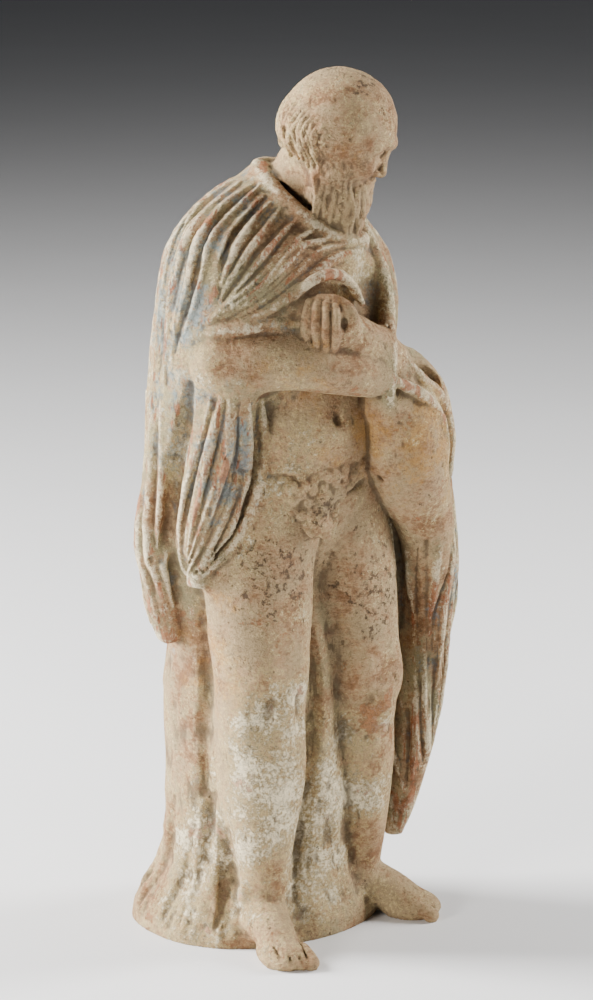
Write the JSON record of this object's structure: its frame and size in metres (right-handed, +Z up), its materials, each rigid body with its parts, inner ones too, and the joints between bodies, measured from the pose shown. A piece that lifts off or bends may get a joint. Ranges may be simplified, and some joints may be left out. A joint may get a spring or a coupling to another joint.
{
  "type": "standing figure statuette",
  "caption": "Moulded terracotta statuette of a bald, bearded man wrapped in a cloak, with a skin bag under the left arm, standing against a rough block that flares into its base.",
  "frame": {"origin": "on the flat underside, at ground level under the body", "axes": "+Z up along the figure's height; the figure's body faces -Y; +X is to the figure's own left"},
  "size_m": [0.0993, 0.0844, 0.25],
  "materials": {
    "terracotta": null
  },
  "bodies": {
    "root": {"statuette": "terracotta"}
  },
  "joints": []
}
